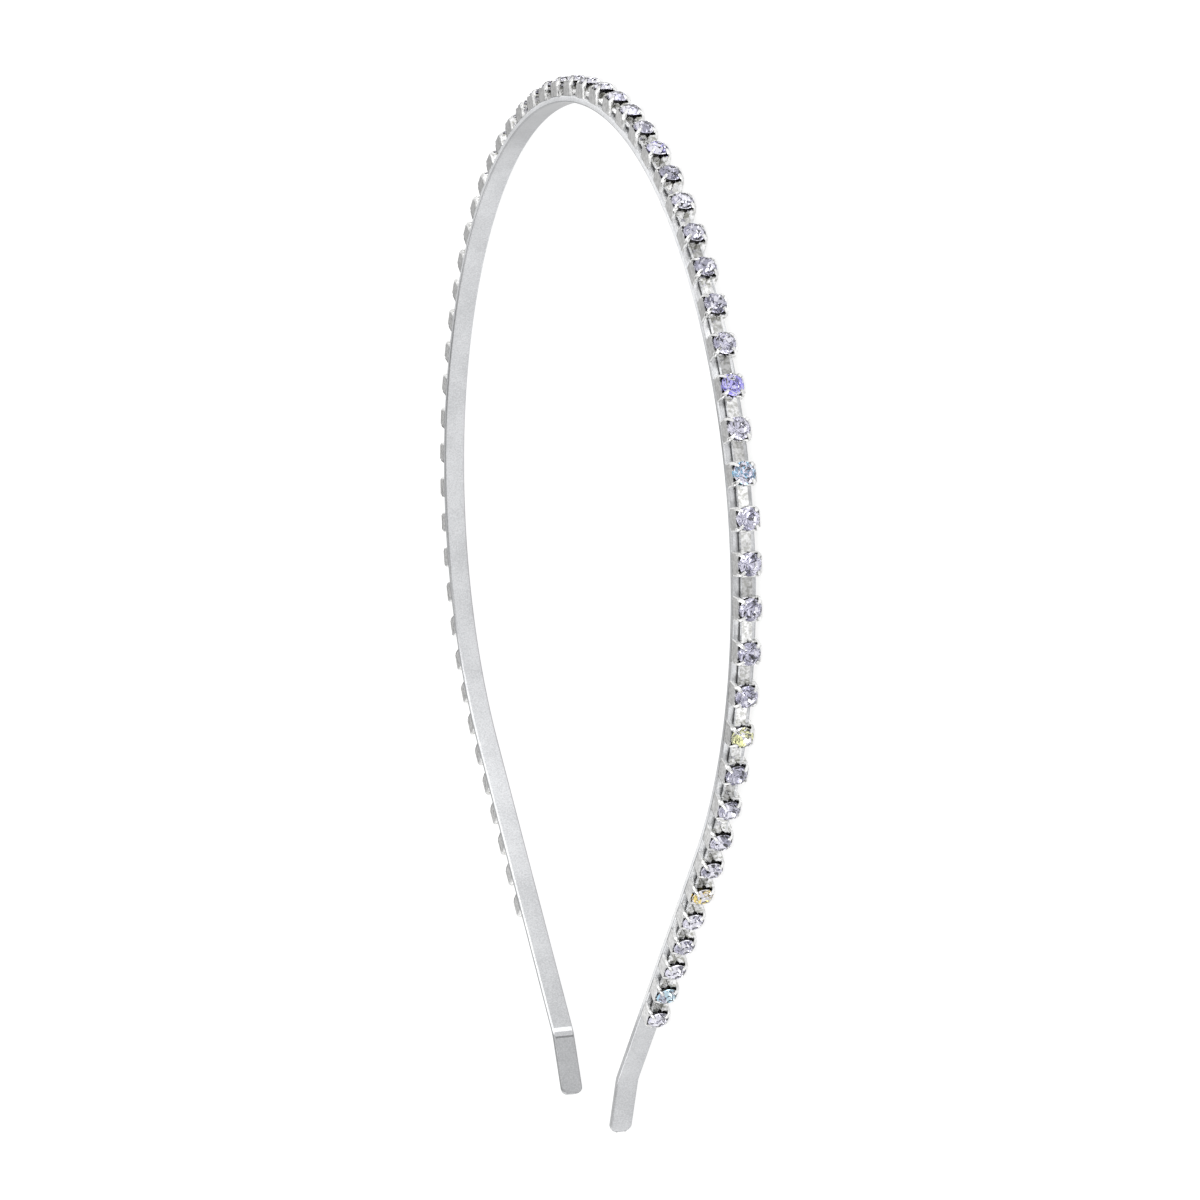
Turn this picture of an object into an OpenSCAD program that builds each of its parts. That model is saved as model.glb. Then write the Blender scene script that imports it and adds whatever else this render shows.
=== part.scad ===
// A headband of flat metal strip, bent to an open horseshoe, with one row of round faceted
// stones in square claw cups soldered along the middle of its outer face.
// It lies on its side: X runs across the head, +Y points from the tips to the crown,
// and the strip stands on its long edge on the plane z = 0.

/* [Strip] */
// Width of the strip, from one long edge to the other
strip_width = 3.2; // [3.2:0.1:5]
// Thickness of the strip
strip_thickness = 0.95; // [0.9:0.05:1.5]
// Radius of the rounding along the strip's four long edges
edge_round = 0.3; // [0.1:0.05:0.4]
// Radius of the two rounded corners at each end of the strip
tip_round = 1; // [0.4:0.1:1.4]

/* [Hoop, on the strip's outer face] */
// Radius over the crown of the head
crown_radius = 64; // [62:0.5:70]
// Turn of the crown on each side of the middle, in degrees
crown_turn = 66; // [64:0.5:67]
// Radius beside the head, where the arms curve in
cheek_radius = 57; // [55:0.5:62]
// Turn beside the head on each side, in degrees
cheek_turn = 65.5; // [64:0.5:66.5]
// Length of the straight part of each arm
arm_length = 51.2; // [48:0.2:54]
// Radius of the bend where a tip turns outwards
flare_radius = 4.5; // [4:0.5:10]
// Turn of that bend, in degrees
flare_turn = 17.5; // [10:0.5:25]
// Length of each tip beyond its bend
tip_length = 8.4; // [6:0.2:12]

/* [Row of stones] */
// Stones on the near arm, the one towards +X
near_stones = 32; // [20:1:32]
// Stones on the far arm
far_stones = 31; // [20:1:32]
// Distance from one stone to the next along the strip
stone_pitch = 5.5; // [5.3:0.1:5.6]
// Width of a stone across its girdle
stone_diameter = 2.95; // [2.8:0.05:2.95]
// Width of the flat table on top, as a share of the girdle
table_share = 0.54; // [0.45:0.01:0.6]
// Height of the crown, from the girdle to the table
crown_height = 0.6; // [0.5:0.05:0.65]
// Height of the girdle's band
girdle_height = 0.1; // [0.08:0.02:0.14]
// Depth of the pavilion, from the girdle to its point
pavilion_depth = 1.35; // [1.2:0.05:1.35]

/* [Cups and links] */
// Outer side of a square cup
cup_side = 3.15; // [3.1:0.05:3.2]
// Thickness of a cup's walls and floor
cup_wall = 0.2; // [0.18:0.02:0.22]
// Height of the walls that face the strip's long edges, above the strip
side_wall_top = 1.8; // [1.6:0.05:1.8]
// Height of the walls that face along the row
end_wall_top = 1.6; // [1.4:0.05:1.65]
// Width of the notch in the middle of each end wall
notch_width = 1; // [0.6:0.1:1.4]
// Height of the notch's point above the strip
notch_base = 0.95; // [0.9:0.05:1.2]
// Width of the flat bar between two cups
link_width = 1.35; // [1:0.05:1.6]
// Thickness of that bar
link_thickness = 0.5; // [0.3:0.05:0.5]

/* [Hidden] */

// Fit of the pieces
solder_gap = 0.12;
link_gap = 0.15;
splice_step = 0.01;
splice_lap = 0.2;

// Heights above the strip's outer face
link_base = 0.4;
girdle_base = 2.05;
girdle_top = girdle_base + girdle_height;
table_top = girdle_top + crown_height;
culet = girdle_base - pavilion_depth;
girdle_radius = stone_diameter / 2;
table_radius = girdle_radius * table_share;

// Cuts in the cups' walls
corner_cut = 0.3;

// Claws, by their distance from the stone's axis and their height
claw_width = 0.55;
claw_thickness = 0.2;
claw_room = 0.15;
claw_reach = 0.18;
claw_inner = girdle_radius + claw_room;
claw_outer = 1.93;
claw_tip = girdle_radius - claw_reach;
claw_base = 1.2;
claw_bend = 2.05;
claw_top = 2.68;

// Sides of a whole turn: the hoop, small rounds, and a stone's girdle and table
HOOP_SIDES = 240;
ROUND_SIDES = 48;
GIRDLE_SIDES = 16;
TABLE_SIDES = 8;

// One side of the hoop, leg by leg from the middle of the crown to the tip
LENGTH = 0;
TURN = 1;
function arc_length(radius, turn) = radius * turn * PI / 180;
LEGS = [
    // length, turn
    [arc_length(crown_radius, crown_turn), crown_turn],
    [arc_length(cheek_radius, cheek_turn), cheek_turn],
    [arm_length, 0],
    [arc_length(flare_radius, flare_turn), -flare_turn],
    [tip_length, 0],
];
CHEEK = 1;
ARM = 2;
FLARE = 3;
TIP = 4;

// A pose is [x, y, heading]. A heading of 0 runs along +X, and it grows as the strip turns
// in towards the head.
function moved(pose, length, turn) =
    turn == 0
    ? [pose.x + length * cos(pose.z), pose.y - length * sin(pose.z), pose.z]
    : let (radius = length / (turn * PI / 180), heading = pose.z + turn)
        [pose.x + radius * (sin(heading) - sin(pose.z)),
         pose.y + radius * (cos(heading) - cos(pose.z)),
         heading];

function leg_start(leg, apex) =
    leg == 0 ? [0, apex, 0] : moved(leg_start(leg - 1, apex), LEGS[leg - 1][LENGTH], LEGS[leg - 1][TURN]);

function pose_at(distance, apex, leg = 0) =
    distance <= LEGS[leg][LENGTH] || leg == TIP
    ? moved(leg_start(leg, apex), distance, LEGS[leg][TURN] * distance / LEGS[leg][LENGTH])
    : pose_at(distance - LEGS[leg][LENGTH], apex, leg + 1);

// The row frame's origin is the middle of the whole part, from the stones on the crown
// to the lowest point of the tips
tip_pose = pose_at(tip_length, 0, TIP);
tip_low = tip_pose.y - strip_thickness * cos(tip_pose.z);
apex_y = -(table_top + min(tip_pose.y, tip_low)) / 2;

// Places a child on the outer face at a distance from the crown's middle. A negative distance
// is on the far arm. The child's X runs along the strip, and its Y points away from the head.
module on_strip(distance) {
    pose = pose_at(abs(distance), apex_y);
    mirror([distance < 0 ? 1 : 0, 0, 0])
        translate([pose.x, pose.y, 0])
            rotate([0, 0, -pose.z])
                children();
}

module at_leg(leg) {
    pose = leg_start(leg, apex_y);
    translate([pose.x, pose.y, 0])
        rotate([0, 0, -pose.z])
            children();
}

// A rectangle from the origin with four round corners
module rounded_rectangle(size, radius) {
    translate([radius, 0])
        square([size.x - 2 * radius, size.y]);
    translate([0, radius])
        square([size.x, size.y - 2 * radius]);
    for (x = [radius, size.x - radius])
        for (y = [radius, size.y - radius])
            translate([x, y])
                circle(radius, $fn = ROUND_SIDES);
}

// The strip's section, whose inner face is at X = inner. A bent stretch is slimmer than the
// straight one beside it by a hair, so that its end runs a little way inside and joins cleanly.
module strip_section(inner, slim = 0) {
    translate([inner + slim, slim])
        rounded_rectangle([strip_thickness - 2 * slim, strip_width - 2 * slim], edge_round);
}

function lap_turn(radius) = splice_lap / radius * 180 / PI;

// A straight stretch of strip along +X, under the line y = 0
module straight_strip(length) {
    rotate([90, 0, 90])
        linear_extrude(length)
            strip_section(-strip_thickness);
}

// A stretch that starts along +X and turns in towards the head
module inward_strip(radius, turn) {
    lap = lap_turn(radius);
    translate([0, -radius, 0])
        rotate([0, 0, 90 - turn - lap])
            rotate_extrude(angle = turn + 2 * lap, $fn = HOOP_SIDES)
                strip_section(radius - strip_thickness, splice_step);
}

// A stretch that starts along +X and turns away from the head
module outward_strip(radius, turn) {
    lap = lap_turn(radius);
    translate([0, radius, 0])
        rotate([0, 0, -90 - lap])
            rotate_extrude(angle = turn + 2 * lap, $fn = HOOP_SIDES)
                strip_section(radius, splice_step);
}

// The end of the strip, with its two corners rounded
module tip_strip() {
    cutter = 3 * strip_thickness;
    intersection() {
        straight_strip(tip_length);
        translate([-tip_length, cutter / 3, 0])
            rotate([90, 0, 0])
                linear_extrude(cutter)
                    rounded_rectangle([2 * tip_length, strip_width], tip_round);
    }
}

module half_band() {
    at_leg(CHEEK)
        inward_strip(cheek_radius, cheek_turn);
    at_leg(ARM)
        straight_strip(arm_length);
    at_leg(FLARE)
        outward_strip(flare_radius, flare_turn);
    at_leg(TIP)
        tip_strip();
}

// The arc over the crown, which both halves share
module crown_band() {
    translate([0, apex_y - crown_radius, 0])
        rotate([0, 0, 90 - crown_turn])
            rotate_extrude(angle = 2 * crown_turn, $fn = HOOP_SIDES)
                strip_section(crown_radius - strip_thickness);
}

module band() {
    color("silver") {
        crown_band();
        half_band();
        mirror([1, 0, 0])
            half_band();
    }
}

// Places a child in the middle of the strip's width, with its Z away from the head
// and its X still along the strip
module upright_on_strip(distance) {
    on_strip(distance)
        translate([0, 0, strip_width / 2])
            rotate([-90, 0, 0])
                children();
}

// The outline of a wall that faces a long edge of the strip, with its two top corners cut
module side_wall_outline() {
    half = cup_side / 2;
    polygon([
        [-half, solder_gap],
        [half, solder_gap],
        [half, side_wall_top - corner_cut],
        [half - corner_cut, side_wall_top],
        [corner_cut - half, side_wall_top],
        [-half, side_wall_top - corner_cut],
    ]);
}

// The outline of a wall that faces along the row, with a notch in its top edge
module end_wall_outline() {
    half = cup_side / 2 - cup_wall / 2;
    polygon([
        [-half, solder_gap],
        [half, solder_gap],
        [half, end_wall_top],
        [notch_width / 2, end_wall_top],
        [0, notch_base],
        [-notch_width / 2, end_wall_top],
        [-half, end_wall_top],
    ]);
}

// A claw at a corner, seen from the side: it rises from the corner and leans in over the stone.
// X is the distance from the stone's axis.
module claw_outline() {
    polygon([
        [claw_inner, claw_base],
        [claw_outer, claw_base],
        [claw_outer, claw_bend],
        [claw_tip + claw_thickness / 2, claw_top],
        [claw_tip, claw_top - claw_thickness],
        [claw_inner, claw_bend + claw_thickness / 2],
    ]);
}

// A flat outline in X and height, made a plate that stands centred on the plane y = 0
module standing(thickness) {
    translate([0, thickness / 2, 0])
        rotate([90, 0, 0])
            linear_extrude(thickness)
                children();
}

module cup() {
    wall_middle = (cup_side - cup_wall) / 2;
    translate([-cup_side / 2, -cup_side / 2, solder_gap])
        cube([cup_side, cup_side, cup_wall]);
    for (turn = [0, 180]) {
        rotate([0, 0, turn])
            translate([0, wall_middle, 0])
                standing(cup_wall)
                    side_wall_outline();
        rotate([0, 0, turn + 90])
            translate([0, wall_middle, 0])
                standing(cup_wall)
                    end_wall_outline();
    }
    for (turn = [45:90:315])
        rotate([0, 0, turn])
            standing(claw_width)
                claw_outline();
}

// The bar from one cup to the next. It starts inside the wall of the cup that is nearer the
// crown's middle, and stops just short of the other.
module link() {
    gap = stone_pitch - cup_side;
    translate([-gap / 2 - cup_wall / 2, -link_width / 2, link_base])
        cube([gap + cup_wall / 2 - link_gap, link_width, link_thickness]);
}

module cup_chain() {
    color("gainsboro") {
        for (place = [-far_stones : near_stones - 1])
            upright_on_strip((place + 0.5) * stone_pitch)
                cup();
        for (place = [1 - far_stones : near_stones - 1])
            upright_on_strip(place * stone_pitch)
                link();
    }
}

// A round stone cut with a table, a crown of triangular facets, a girdle and a pavilion.
// Its points run ring by ring: under the girdle, over the girdle, round the table, the culet.
function ring(radius, height, sides) =
    [for (k = [0 : sides - 1]) [radius * cos(k * 360 / sides), radius * sin(k * 360 / sides), height]];

module stone() {
    points = concat(
        ring(girdle_radius, girdle_base, GIRDLE_SIDES),
        ring(girdle_radius, girdle_top, GIRDLE_SIDES),
        ring(table_radius, table_top, TABLE_SIDES),
        [[0, 0, culet]]
    );
    over = GIRDLE_SIDES;
    table = 2 * GIRDLE_SIDES;
    bottom = table + TABLE_SIDES;
    function next(k) = (k + 1) % GIRDLE_SIDES;
    function last(k) = (k + GIRDLE_SIDES - 1) % GIRDLE_SIDES;
    pavilion = [for (k = [0 : GIRDLE_SIDES - 1]) [k, next(k), bottom]];
    girdle = [for (k = [0 : GIRDLE_SIDES - 1]) [over + k, over + next(k), next(k), k]];
    crown = [for (k = [0 : TABLE_SIDES - 1])
        each [
            [table + k, over + 2 * k, over + last(2 * k)],
            [table + k, over + next(2 * k), over + 2 * k],
            [table + k, table + (k + 1) % TABLE_SIDES, over + next(2 * k)],
        ]];
    top = [[for (k = [TABLE_SIDES - 1 : -1 : 0]) table + k]];
    polyhedron(points, concat(pavilion, girdle, crown, top));
}

module rhinestones() {
    color("lavender")
        for (place = [-far_stones : near_stones - 1])
            upright_on_strip((place + 0.5) * stone_pitch)
                stone();
}

band();
cup_chain();
rhinestones();
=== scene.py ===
"""A headband of flat silver-plated strip, bent to an open horseshoe, with one row of round
lavender rhinestones in square claw cups. It lies on its side on a pale studio floor.

Sizes are in metres. X runs across the head, +Y points from the tips to the crown, and the
strip stands on its long edge on the floor, z = 0.
"""

import math

import bmesh
import bpy
from mathutils import Matrix, Vector


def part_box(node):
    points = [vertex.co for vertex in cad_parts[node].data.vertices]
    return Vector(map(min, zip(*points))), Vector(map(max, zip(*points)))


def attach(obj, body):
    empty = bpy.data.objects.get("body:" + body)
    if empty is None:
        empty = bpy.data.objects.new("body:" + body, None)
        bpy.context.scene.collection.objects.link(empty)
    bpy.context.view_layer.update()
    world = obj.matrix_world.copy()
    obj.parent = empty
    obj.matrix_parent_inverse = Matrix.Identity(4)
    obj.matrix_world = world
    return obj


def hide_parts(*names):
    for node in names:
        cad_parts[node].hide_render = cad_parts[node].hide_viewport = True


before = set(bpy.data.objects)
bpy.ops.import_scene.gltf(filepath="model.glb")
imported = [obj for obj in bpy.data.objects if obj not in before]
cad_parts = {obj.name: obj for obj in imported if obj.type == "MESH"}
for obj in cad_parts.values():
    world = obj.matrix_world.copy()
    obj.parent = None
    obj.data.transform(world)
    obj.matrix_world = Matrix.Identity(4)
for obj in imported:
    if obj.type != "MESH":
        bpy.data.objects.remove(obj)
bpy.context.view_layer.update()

bl_info = {
    "name": "Rhinestone headband",
    "version": (1, 0, 0),
    "blender": (4, 5, 0),
    "location": "3D View > Sidebar > Headband",
    "description": "Builds a metal headband with a row of claw-set rhinestones",
    "category": "Add Mesh",
}

MM = 0.001
QUARTER_TURN = math.radians(90)
# The corners of the strip's box in the frame
BAND_LOW, BAND_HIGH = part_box("band")
# Faces that meet at less than this angle are shaded as one
SMOOTH_BELOW = math.radians(30)
# Points nearer to each other than this are one
MERGE_DISTANCE = 0.001 * MM
# The layer of face colours that carries each piece's own tint, painted highlight and shade
TINT = "tint"


def linear(code):
    """The linear RGBA of an sRGB colour such as "#C8CACC"."""
    channels = [int(code[i:i + 2], 16) / 255 for i in (1, 3, 5)]
    return [c / 12.92 if c <= 0.04045 else ((c + 0.055) / 1.055) ** 2.4 for c in channels] + [1.0]


WHITE = linear("#FFFFFF")


def length(name, description, millimetres):
    """A size that the sidebar shows as a length."""
    return bpy.props.FloatProperty(
        name=name, description=description, default=millimetres * MM, min=0.0, precision=5, unit="LENGTH"
    )


def angle(name, description, degrees):
    """An angle that the sidebar shows in degrees."""
    return bpy.props.FloatProperty(
        name=name, description=description, default=math.radians(degrees), subtype="ANGLE"
    )


def number(name, description, value):
    """A plain number."""
    return bpy.props.FloatProperty(name=name, description=description, default=value)


def count(name, description, value):
    """A whole number."""
    return bpy.props.IntProperty(name=name, description=description, default=value, min=1)


def colour(name, description, code):
    """A colour, given as sRGB hex."""
    return bpy.props.FloatVectorProperty(
        name=name, description=description, default=linear(code), size=4, min=0.0, max=1.0, subtype="COLOR"
    )


class HoopSizes(bpy.types.PropertyGroup):
    """The strip and the line that its outer face follows."""

    thickness: length("Strip thickness", "Thickness of the strip", 0.95)
    edge_round: length("Edge rounding", "Radius along the strip's four long edges", 0.3)
    tip_round: length("Tip corners", "Radius of the two corners at each end", 1.0)
    crown_radius: length("Crown radius", "Radius over the crown of the head", 64)
    crown_turn: angle("Crown turn", "Turn of the crown on each side of the middle", 66)
    cheek_radius: length("Cheek radius", "Radius beside the head", 57)
    cheek_turn: angle("Cheek turn", "Turn beside the head on each side", 65.5)
    arm_length: length("Arm length", "Straight part of each arm", 51.2)
    flare_radius: length("Flare radius", "Radius of the bend where a tip turns out", 4.5)
    flare_turn: angle("Flare turn", "Turn of that bend", 17.5)
    tip_length: length("Tip length", "Length of each tip beyond its bend", 8.4)


class RowSizes(bpy.types.PropertyGroup):
    """The row of stones along the strip."""

    near_stones: count("Near stones", "Stones on the arm towards +X", 32)
    far_stones: count("Far stones", "Stones on the other arm", 31)
    pitch: length("Pitch", "Distance from one stone to the next along the strip", 5.5)


class CupSizes(bpy.types.PropertyGroup):
    """One stamped cup and the flat bar that joins it to the next."""

    side: length("Cup side", "Outer side of a square cup", 3.15)
    wall: length("Sheet", "Thickness of the cup's sheet metal", 0.2)
    sunk: length("Solder depth", "How deep a cup's foot sits in the solder", 0.03)
    wall_top: length("Side wall top", "Height of the side walls, which carry the stone", 1.95)
    end_top: length("End wall top", "Height of the end walls, between the claws", 1.74)
    fold_round: length("Fold rounding", "Radius of the folded corners", 0.22)
    lean_base: length("Corner lean", "Height where a corner starts to lean in", 1.4)
    top_corner: length("Top corner", "Distance from the stone's axis to a corner at the wall's top", 2.08)
    claw_root: length("Claw root", "Distance from the cup's middle to a claw's side", 1.1)
    slit_half: length("Slit", "Half the width of the slit in an end wall", 0.05)
    slit_base: length("Slit base", "Height of the slit's lower end", 1.0)
    slit_flare: length("Slit flare", "Height where the slit starts to open", 1.32)
    slit_mouth: length("Slit mouth", "Half the width of the slit at the wall's top", 0.36)
    link_width: length("Link width", "Width of the flat bar between two cups", 1.35)
    link_base: length("Link base", "Height of the bar's underside above the strip", 0.3)
    link_top: length("Link top", "Height of the bar's upper face", 0.9)
    stub: length("Cut link", "What is left of the bar on the first and last cup", 0.15)


class StoneSizes(bpy.types.PropertyGroup):
    """One round foil-backed stone, by heights above the strip."""

    diameter: length("Girdle", "Width of a stone across its girdle", 2.95)
    table_share: number("Table", "Width of the table as a share of the girdle", 0.54)
    culet: length("Culet", "Height of the point under the stone", 0.70)
    girdle_base: length("Girdle base", "Height of the girdle's lower edge", 2.05)
    girdle_top: length("Girdle top", "Height of the girdle's upper edge", 2.15)
    table_top: length("Table top", "Height of the table", 2.75)


class FinishColours(bpy.types.PropertyGroup):
    """The colours of the finishes."""

    strip_light: colour("Strip", "Satin silver plate of the strip", "#D1D2D4")
    strip_dark: colour("Strip, duller", "Duller patches of the strip", "#B9BABC")
    cup_light: colour("Cups", "Bright silver plate of the cups", "#FAFAFA")
    cup_dark: colour("Cups, duller", "Duller patches of the cups", "#DCDCDC")
    cup_worn: colour("Cups, worn", "Dull spots that the tumbling missed", "#B2B2AB")
    # Painted shade inside the cups, darker in patches
    cup_inside_shade: colour("Inside of the cups", "Unpolished plate under the stones", "#9C9C96")
    cup_inside_deep_shade: colour("Inside, stained", "Darker patches of that plate", "#70706B")
    glass: colour("Glass", "Body of the stones", "#FCFCFF")
    foil: colour("Foil", "Mirror foil behind the stones", "#F4F3FB")
    # Painted glints: the foil's colour where a stone flashes
    violet: colour("Violet flash", "Foil where a stone flashes violet", "#C0BAFF")
    sky: colour("Sky flash", "Foil where a stone flashes sky blue", "#A9DEF6")
    ice: colour("Ice flash", "Foil where a stone flashes icy blue", "#D3F0FC")
    lemon: colour("Lemon flash", "Foil where a stone flashes lemon yellow", "#F5F7B4")
    gold: colour("Gold flash", "Foil where a stone flashes golden yellow", "#FCE68A")
    floor: colour("Table", "Opal table under the headband", "#8C8C8C")
    floor_light: colour("Table, lighter", "Lighter patches of the table", "#909090")


class StudioSettings(bpy.types.PropertyGroup):
    """The camera, given as if the headband stood on its tips, and the floor."""

    azimuth: angle("Azimuth", "Turn of the camera round from the front", 71.1253)
    elevation: angle("Elevation", "Height of the camera above level", 6.8684)
    roll: angle("Roll", "Turn of the picture", 1.3603)
    distance: length("Distance", "From the camera to the point it looks at", 484.59)
    lens: number("Lens", "Focal length in millimetres on a 36 mm sensor", 103.57)
    aim_x: length("Aim across", "Point looked at, across the head", 7.44)
    aim_drop: length("Aim drop", "Point looked at, below the crown's outer face", 70.36)
    floor_side: length("Floor side", "Side of the square floor", 6000)


GROUPS = {
    "headband_hoop": HoopSizes,
    "headband_row": RowSizes,
    "headband_cup": CupSizes,
    "headband_stone": StoneSizes,
    "headband_finish": FinishColours,
    "headband_studio": StudioSettings,
}


def add_node(tree, kind, inputs=None, stops=None, **settings):
    """Adds a node with its settings, colour-ramp stops, and values or links on its inputs."""
    node = tree.nodes.new(kind)
    for name, value in settings.items():
        setattr(node, name, value)
    for name, value in (inputs or {}).items():
        if isinstance(value, bpy.types.NodeSocket):
            tree.links.new(value, node.inputs[name])
        else:
            node.inputs[name].default_value = value
    if stops:
        elements = node.color_ramp.elements
        while len(elements) < len(stops):
            elements.new(1.0)
        for element, (position, shade) in zip(elements, stops):
            element.position = position
            element.color = shade
    return node


def new_material(name):
    """A material with an empty node tree."""
    material = bpy.data.materials.new(name)
    material.use_nodes = True
    material.node_tree.nodes.clear()
    return material, material.node_tree


def finished(material, inputs):
    """Closes a material's tree with its shader, and hands the material back."""
    tree = material.node_tree
    shader = add_node(tree, "ShaderNodeBsdfPrincipled", inputs)
    add_node(tree, "ShaderNodeOutputMaterial", {"Surface": shader.outputs[0]})
    return material


# The values between which most of the noise lies
NOISE_LOW = 0.3
NOISE_HIGH = 0.7
# How wide the patches of each pattern are. The blasted grain is finer than this on real plate, and
# is drawn as coarse as it needs to show.
GRAIN = 0.22 * MM
CLOUD = 5 * MM
FLUX_BLOTCH = 2.4 * MM
RIPPLE = 0.7 * MM
DULL_SPOT = 0.45 * MM
INSIDE_SHADE_PATCH = 0.5 * MM
HAZE = 3 * MM
MOTTLE = 80 * MM
# How much the cloud counts beside the grain
CLOUD_SHARE = 0.35
# The sockets of a Mix node for numbers and of one for colours
SHARE = 0
FIRST_NUMBER = 2
SECOND_NUMBER = 3
MIXED_NUMBER = 0
FIRST_COLOUR = 6
SECOND_COLOUR = 7
MIXED_COLOUR = 2


def grey(level):
    """A grey for a stop whose colour multiplies another."""
    return [level, level, level, 1.0]


def tinted(tree, tone, fleck):
    """A tone times the piece's own tint, which paints highlight and shade. The tint's alpha lets the flecks
    through.
    """
    tint = add_node(tree, "ShaderNodeAttribute", attribute_name=TINT).outputs
    for share, shade in ((tint["Alpha"], fleck), (1.0, tint["Color"])):
        inputs = {SHARE: share, FIRST_COLOUR: tone, SECOND_COLOUR: shade}
        product = add_node(tree, "ShaderNodeMix", inputs, data_type="RGBA", blend_type="MULTIPLY")
        tone = product.outputs[MIXED_COLOUR]
    return tone


def plated(material, shade, grain, smoothest, roughest, strength, depth):
    """Finishes a material as silver plate, whose roughness and bumps both follow a grain."""
    tree = material.node_tree
    rough = add_node(
        tree, "ShaderNodeMapRange",
        {
            "Value": grain,
            "From Min": NOISE_LOW,
            "From Max": NOISE_HIGH,
            "To Min": smoothest,
            "To Max": roughest,
        },
    )
    bumps = add_node(tree, "ShaderNodeBump", {"Height": grain, "Strength": strength, "Distance": depth})
    return finished(material, {
        "Base Color": shade,
        "Metallic": 1.0,
        "Roughness": rough.outputs["Result"],
        "Normal": bumps.outputs["Normal"],
    })


def satin_silver(finish):
    """Silver plate over steel, finely blasted: it gives an even, softly grained light grey with no
    mirror image in it. Along the row, flux has left it blotched. The tint paints highlight and shade
    along the strip, with a white stripe and a dark line across each crease."""
    material, tree = new_material("satin_silver_plate")
    place = add_node(tree, "ShaderNodeTexCoord").outputs["Object"]
    grain = add_node(tree, "ShaderNodeTexNoise", {"Vector": place, "Scale": 1 / GRAIN, "Detail": 2.0})
    cloud = add_node(tree, "ShaderNodeTexNoise", {"Vector": place, "Scale": 1 / CLOUD, "Detail": 3.0})
    both = add_node(
        tree, "ShaderNodeMix",
        {SHARE: CLOUD_SHARE, FIRST_NUMBER: grain.outputs["Fac"], SECOND_NUMBER: cloud.outputs["Fac"]},
    )
    tone = add_node(
        tree, "ShaderNodeValToRGB", {"Fac": both.outputs[MIXED_NUMBER]},
        [(0.38, finish.strip_dark), (0.62, finish.strip_light)],
    )
    flux = add_node(tree, "ShaderNodeTexNoise", {"Vector": place, "Scale": 1 / FLUX_BLOTCH, "Detail": 2.0})
    blotch = add_node(
        tree, "ShaderNodeValToRGB", {"Fac": flux.outputs["Fac"]},
        [(0.38, grey(0.85)), (0.46, grey(1.0)), (0.54, grey(1.2))],
    )
    # The tint paints highlight and shade face by face; its alpha lets the flux blotches through
    shade = tinted(tree, tone.outputs["Color"], blotch.outputs["Color"])
    return plated(
        material, shade, grain.outputs["Fac"],
        smoothest=0.28, roughest=0.42, strength=0.2, depth=0.05 * MM,
    )


def bright_silver(finish):
    """Silver plate over stamped brass, tumbled bright: it gives crisp white and dark reflections
    that waver a little over each cup, and dull spots in the corners that the tumbling missed."""
    material, tree = new_material("bright_silver_plate")
    place = add_node(tree, "ShaderNodeTexCoord").outputs["Object"]
    ripple = add_node(tree, "ShaderNodeTexNoise", {"Vector": place, "Scale": 1 / RIPPLE, "Detail": 2.0})
    spots = add_node(tree, "ShaderNodeTexNoise", {"Vector": place, "Scale": 1 / DULL_SPOT, "Detail": 1.0})
    tone = add_node(
        tree, "ShaderNodeValToRGB", {"Fac": ripple.outputs["Fac"]},
        [(0.38, finish.cup_dark), (0.6, finish.cup_light)],
    )
    worn = add_node(
        tree, "ShaderNodeValToRGB", {"Fac": spots.outputs["Fac"]},
        [(0.4, finish.cup_worn), (0.5, finish.cup_dark), (0.56, finish.cup_light)],
    )
    # The tint paints highlight and shade face by face; its alpha lets the worn spots through
    shade = tinted(tree, tone.outputs["Color"], worn.outputs["Color"])
    return plated(
        material, shade, ripple.outputs["Fac"],
        smoothest=0.08, roughest=0.2, strength=0.35, depth=0.15 * MM,
    )


def shaded_inside_plate(finish):
    """The plate inside the cups, left rough and painted darker as shade in the hollow: it gives the dark
    line under each stone.
    """
    material, tree = new_material("unpolished_plate")
    place = add_node(tree, "ShaderNodeTexCoord").outputs["Object"]
    shade_noise = add_node(tree, "ShaderNodeTexNoise", {"Vector": place, "Scale": 1 / INSIDE_SHADE_PATCH, "Detail": 2.0})
    tone = add_node(
        tree, "ShaderNodeValToRGB", {"Fac": shade_noise.outputs["Fac"]},
        [(NOISE_LOW, finish.cup_inside_deep_shade), (NOISE_HIGH, finish.cup_inside_shade)],
    )
    return finished(material, {"Base Color": tone.outputs["Color"], "Metallic": 1.0, "Roughness": 0.5})


def cut_glass(finish):
    """Machine-cut lead glass, polished: it gives sharp facets that show the foil behind them."""
    material, tree = new_material("cut_lead_glass")
    place = add_node(tree, "ShaderNodeTexCoord").outputs["Object"]
    haze = add_node(tree, "ShaderNodeTexNoise", {"Vector": place, "Scale": 1 / HAZE, "Detail": 1.0})
    tone = add_node(
        tree, "ShaderNodeValToRGB", {"Fac": haze.outputs["Fac"]},
        [(NOISE_LOW, finish.glass), (NOISE_HIGH, WHITE)],
    )
    return finished(material, {
        "Base Color": tone.outputs["Color"],
        "Roughness": 0.0,
        "IOR": 1.58,
        "Transmission Weight": 1.0,
    })


def mirror_foil():
    """Silver foil lacquered on the back of the glass: it throws the light back out of the stone. Its colour
    comes from the tint, with painted reflections and glints facet by facet.
    """
    material, tree = new_material("silver_mirror_foil")
    fire = add_node(tree, "ShaderNodeAttribute", attribute_name=TINT).outputs["Color"]
    return finished(material, {"Base Color": fire, "Metallic": 1.0, "Roughness": 0.03})


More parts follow.
